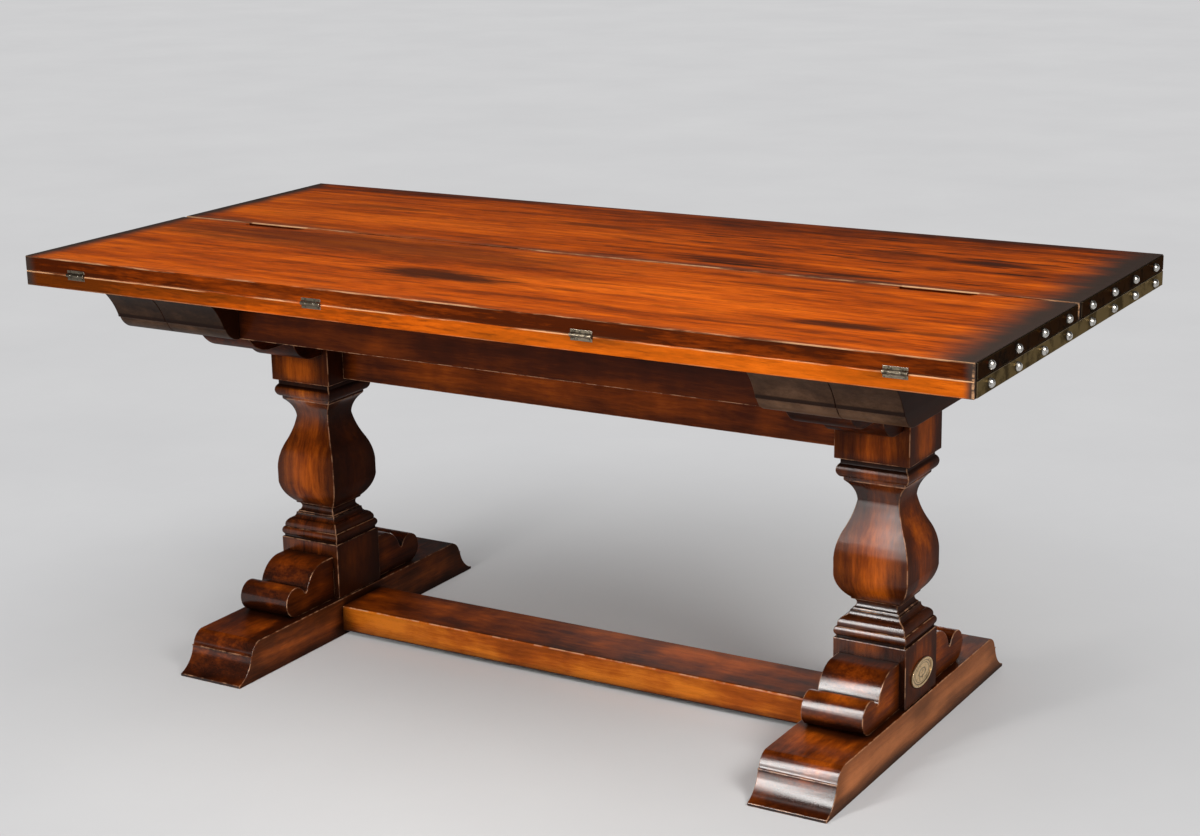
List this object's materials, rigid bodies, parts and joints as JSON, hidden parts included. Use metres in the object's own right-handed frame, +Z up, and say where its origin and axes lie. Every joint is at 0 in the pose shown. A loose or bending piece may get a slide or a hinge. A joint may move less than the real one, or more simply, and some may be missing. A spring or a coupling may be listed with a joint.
{
  "type": "flip-top dining table",
  "caption": "Trestle dining table whose two top leaves fold out on edge hinges to double the surface, with scroll brackets, square baluster posts and studded metal end straps.",
  "frame": {"origin": "on the floor under the middle of the closed table", "axes": "+X along the table to the right as pictured, +Y to the back, +Z up"},
  "size_m": [1.846, 0.884, 0.788],
  "materials": {
    "tabletop_wood": "gloss lacquer over streaky stained grain, burnt dark toward the ends",
    "trestle_wood": "gloss lacquer, dark red-brown, worn light on the arrises",
    "strap_metal": "dark antique patina",
    "stud_metal": "bright polished",
    "hinge_metal": "dark antique patina",
    "screw_steel": "zinc plated",
    "plaque_brass": "aged satin"
  },
  "bodies": {
    "base": {"fixed_top": "tabletop_wood", "fixed_top_left_strap": "strap_metal", "fixed_top_left_studs": "stud_metal", "fixed_top_right_strap": "strap_metal", "fixed_top_right_studs": "stud_metal", "left_foot": "trestle_wood", "left_post": "trestle_wood", "left_bearer": "trestle_wood", "left_front_lower_bracket": "trestle_wood", "left_front_upper_bracket": "trestle_wood", "left_back_lower_bracket": "trestle_wood", "left_back_upper_bracket": "trestle_wood", "left_loper_rail": "trestle_wood", "right_foot": "trestle_wood", "right_post": "trestle_wood", "right_bearer": "trestle_wood", "right_front_lower_bracket": "trestle_wood", "right_front_upper_bracket": "trestle_wood", "right_back_lower_bracket": "trestle_wood", "right_back_upper_bracket": "trestle_wood", "right_loper_rail": "trestle_wood", "stretcher": "trestle_wood", "spine_beam": "trestle_wood", "front_apron": "trestle_wood", "back_apron": "trestle_wood", "front_hinge_lower_plates": "hinge_metal", "front_hinge_lower_screws": "hinge_metal", "front_hinge_pins": "hinge_metal", "back_hinge_lower_plates": "hinge_metal", "back_hinge_lower_screws": "hinge_metal", "back_hinge_pins": "hinge_metal", "top_fixing_screws": "screw_steel", "loper_stop_pins": "trestle_wood", "plinth_plaque": "plaque_brass"},
    "front_leaf_assembly": {"front_leaf": "tabletop_wood", "front_leaf_left_strap": "strap_metal", "front_leaf_left_studs": "stud_metal", "front_leaf_right_strap": "strap_metal", "front_leaf_right_studs": "stud_metal", "front_hinge_upper_plates": "hinge_metal", "front_hinge_upper_screws": "hinge_metal"},
    "back_leaf_assembly": {"back_leaf": "tabletop_wood", "back_leaf_left_strap": "strap_metal", "back_leaf_left_studs": "stud_metal", "back_leaf_right_strap": "strap_metal", "back_leaf_right_studs": "stud_metal", "back_hinge_upper_plates": "hinge_metal", "back_hinge_upper_screws": "hinge_metal"},
    "left_front_loper_arm": {"left_front_loper": "trestle_wood"},
    "left_back_loper_arm": {"left_back_loper": "trestle_wood"},
    "right_front_loper_arm": {"right_front_loper": "trestle_wood"},
    "right_back_loper_arm": {"right_back_loper": "trestle_wood"}
  },
  "joints": [
    {"name": "front_leaf_fold", "type": "hinge", "parent": "base", "child": "front_leaf_assembly", "pos_m": [0, -0.4385, 0.761], "axis": [1, 0, 0], "range_deg": [0, 180]},
    {"name": "back_leaf_fold", "type": "hinge", "parent": "base", "child": "back_leaf_assembly", "pos_m": [0, 0.4385, 0.761], "axis": [-1, 0, 0], "range_deg": [0, 180]},
    {"name": "left_front_loper_slide", "type": "slide", "parent": "base", "child": "left_front_loper_arm", "axis": [0, -1, 0], "range_m": [0, 0.26]},
    {"name": "left_back_loper_slide", "type": "slide", "parent": "base", "child": "left_back_loper_arm", "axis": [0, 1, 0], "range_m": [0, 0.26]},
    {"name": "right_front_loper_slide", "type": "slide", "parent": "base", "child": "right_front_loper_arm", "axis": [0, -1, 0], "range_m": [0, 0.26]},
    {"name": "right_back_loper_slide", "type": "slide", "parent": "base", "child": "right_back_loper_arm", "axis": [0, 1, 0], "range_m": [0, 0.26]}
  ]
}
